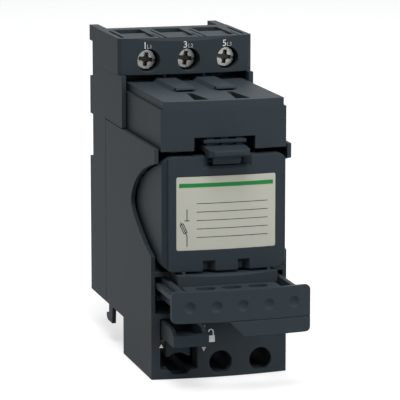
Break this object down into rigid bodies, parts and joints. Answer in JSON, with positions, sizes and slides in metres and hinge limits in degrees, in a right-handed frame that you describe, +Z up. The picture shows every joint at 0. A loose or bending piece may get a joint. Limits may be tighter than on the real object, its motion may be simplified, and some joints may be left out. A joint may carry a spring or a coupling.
{
  "type": "current limiting disconnector",
  "caption": "Rail-mounted moulded disconnector with a plug-in limiter cartridge, a pull-out padlock drawer, a lock tab and screw terminals for the supply.",
  "frame": {"origin": "middle of the plane against which the rail's flanges rest, at half the rail's height", "axes": "+Z up, +Y to the back, towards the rail, +X to the right as seen from the front"},
  "size_m": [0.0456, 0.1093, 0.105],
  "materials": {
    "housing": "fine-grained moulded plastic, dark slate grey",
    "cap": "fine-grained moulded plastic, dark slate grey",
    "inner_plastic": "moulded insulating plastic, near black",
    "cartridge": "fine-grained moulded plastic, dark blue grey",
    "drawer": "fine-grained moulded plastic, dark blue grey",
    "label": "printed film, satin",
    "screw_steel": "zinc plated, slightly satin",
    "cage_steel": "zinc plated",
    "spring_steel": "bright drawn wire",
    "arc_steel": "nickel plated sheet",
    "tinned": "tin plated copper alloy sheet",
    "copper": "bare copper alloy sheet",
    "silver_copper": "plated copper alloy blade",
    "ceramic": null
  },
  "bodies": {
    "housing": {"rear_housing": "housing", "front_housing": "housing", "terminal_block": "housing", "contact_carrier": "inner_plastic", "chamber_body": "housing", "chamber_cap": "cap", "jaws_upper": "tinned", "jaws_lower": "tinned", "arc_plates_1": "arc_steel", "arc_plates_2": "arc_steel", "arc_plates_3": "arc_steel", "line_bar_1": "tinned", "line_bar_2": "tinned", "line_bar_3": "tinned", "link_bar_1": "copper", "link_bar_2": "copper", "link_bar_3": "copper"},
    "cartridge": {"cartridge_shell": "cartridge", "cartridge_back": "inner_plastic", "name_plate": "label", "element_1": "ceramic", "element_2": "ceramic", "element_3": "ceramic", "blades_1": "silver_copper", "blades_2": "silver_copper", "blades_3": "silver_copper"},
    "latch": {"latch": "cartridge"},
    "drawer": {"padlock_drawer": "drawer"},
    "tab": {"lock_tab": "drawer"},
    "clip": {"rail_clip": "inner_plastic", "clip_spring": "spring_steel"},
    "screw_1": {"screw_1": "screw_steel"},
    "cage_1": {"cage_1": "cage_steel"},
    "screw_2": {"screw_2": "screw_steel"},
    "cage_2": {"cage_2": "cage_steel"},
    "screw_3": {"screw_3": "screw_steel"},
    "cage_3": {"cage_3": "cage_steel"}
  },
  "joints": [
    {"name": "cartridge_pull", "type": "slide", "parent": "housing", "child": "cartridge", "axis": [0, -1, 0], "range_m": [0, 0.025]},
    {"name": "latch_press", "type": "hinge", "parent": "cartridge", "child": "latch", "pos_m": [0, -0.0837, -0.00995], "axis": [1, 0, 0], "range_deg": [0, 5], "stiffness_Nm_per_rad": 0.06},
    {"name": "drawer_push", "type": "slide", "parent": "housing", "child": "drawer", "axis": [0, 1, 0], "range_m": [0, 0.0068]},
    {"name": "tab_lower", "type": "slide", "parent": "housing", "child": "tab", "axis": [0, 0, -1], "range_m": [0, 0.0055]},
    {"name": "clip_draw", "type": "slide", "parent": "housing", "child": "clip", "axis": [0, 0, -1], "range_m": [0, 0.003], "stiffness_N_per_m": 900, "deforming": ["clip_spring"]},
    {"name": "screw_turn_1", "type": "hinge", "parent": "housing", "child": "screw_1", "pos_m": [-0.01275, -0.0333, 0.0164], "axis": [0, 1, 0], "range_deg": [-1180, 2140]},
    {"name": "cage_slide_1", "type": "slide", "parent": "housing", "child": "cage_1", "axis": [0, 1, 0], "range_m": [-0.004, 0.0022]},
    {"name": "screw_turn_2", "type": "hinge", "parent": "housing", "child": "screw_2", "pos_m": [0.00075, -0.0333, 0.0164], "axis": [0, 1, 0], "range_deg": [-1180, 2140]},
    {"name": "cage_slide_2", "type": "slide", "parent": "housing", "child": "cage_2", "axis": [0, 1, 0], "range_m": [-0.004, 0.0022]},
    {"name": "screw_turn_3", "type": "hinge", "parent": "housing", "child": "screw_3", "pos_m": [0.01425, -0.0333, 0.0164], "axis": [0, 1, 0], "range_deg": [-1180, 2140]},
    {"name": "cage_slide_3", "type": "slide", "parent": "housing", "child": "cage_3", "axis": [0, 1, 0], "range_m": [-0.004, 0.0022]}
  ],
  "couplings": [
    {"joint": "screw_turn_1", "follows": "cage_slide_1", "rad_per_m": -8976},
    {"joint": "screw_turn_2", "follows": "cage_slide_2", "rad_per_m": -8976},
    {"joint": "screw_turn_3", "follows": "cage_slide_3", "rad_per_m": -8976}
  ]
}
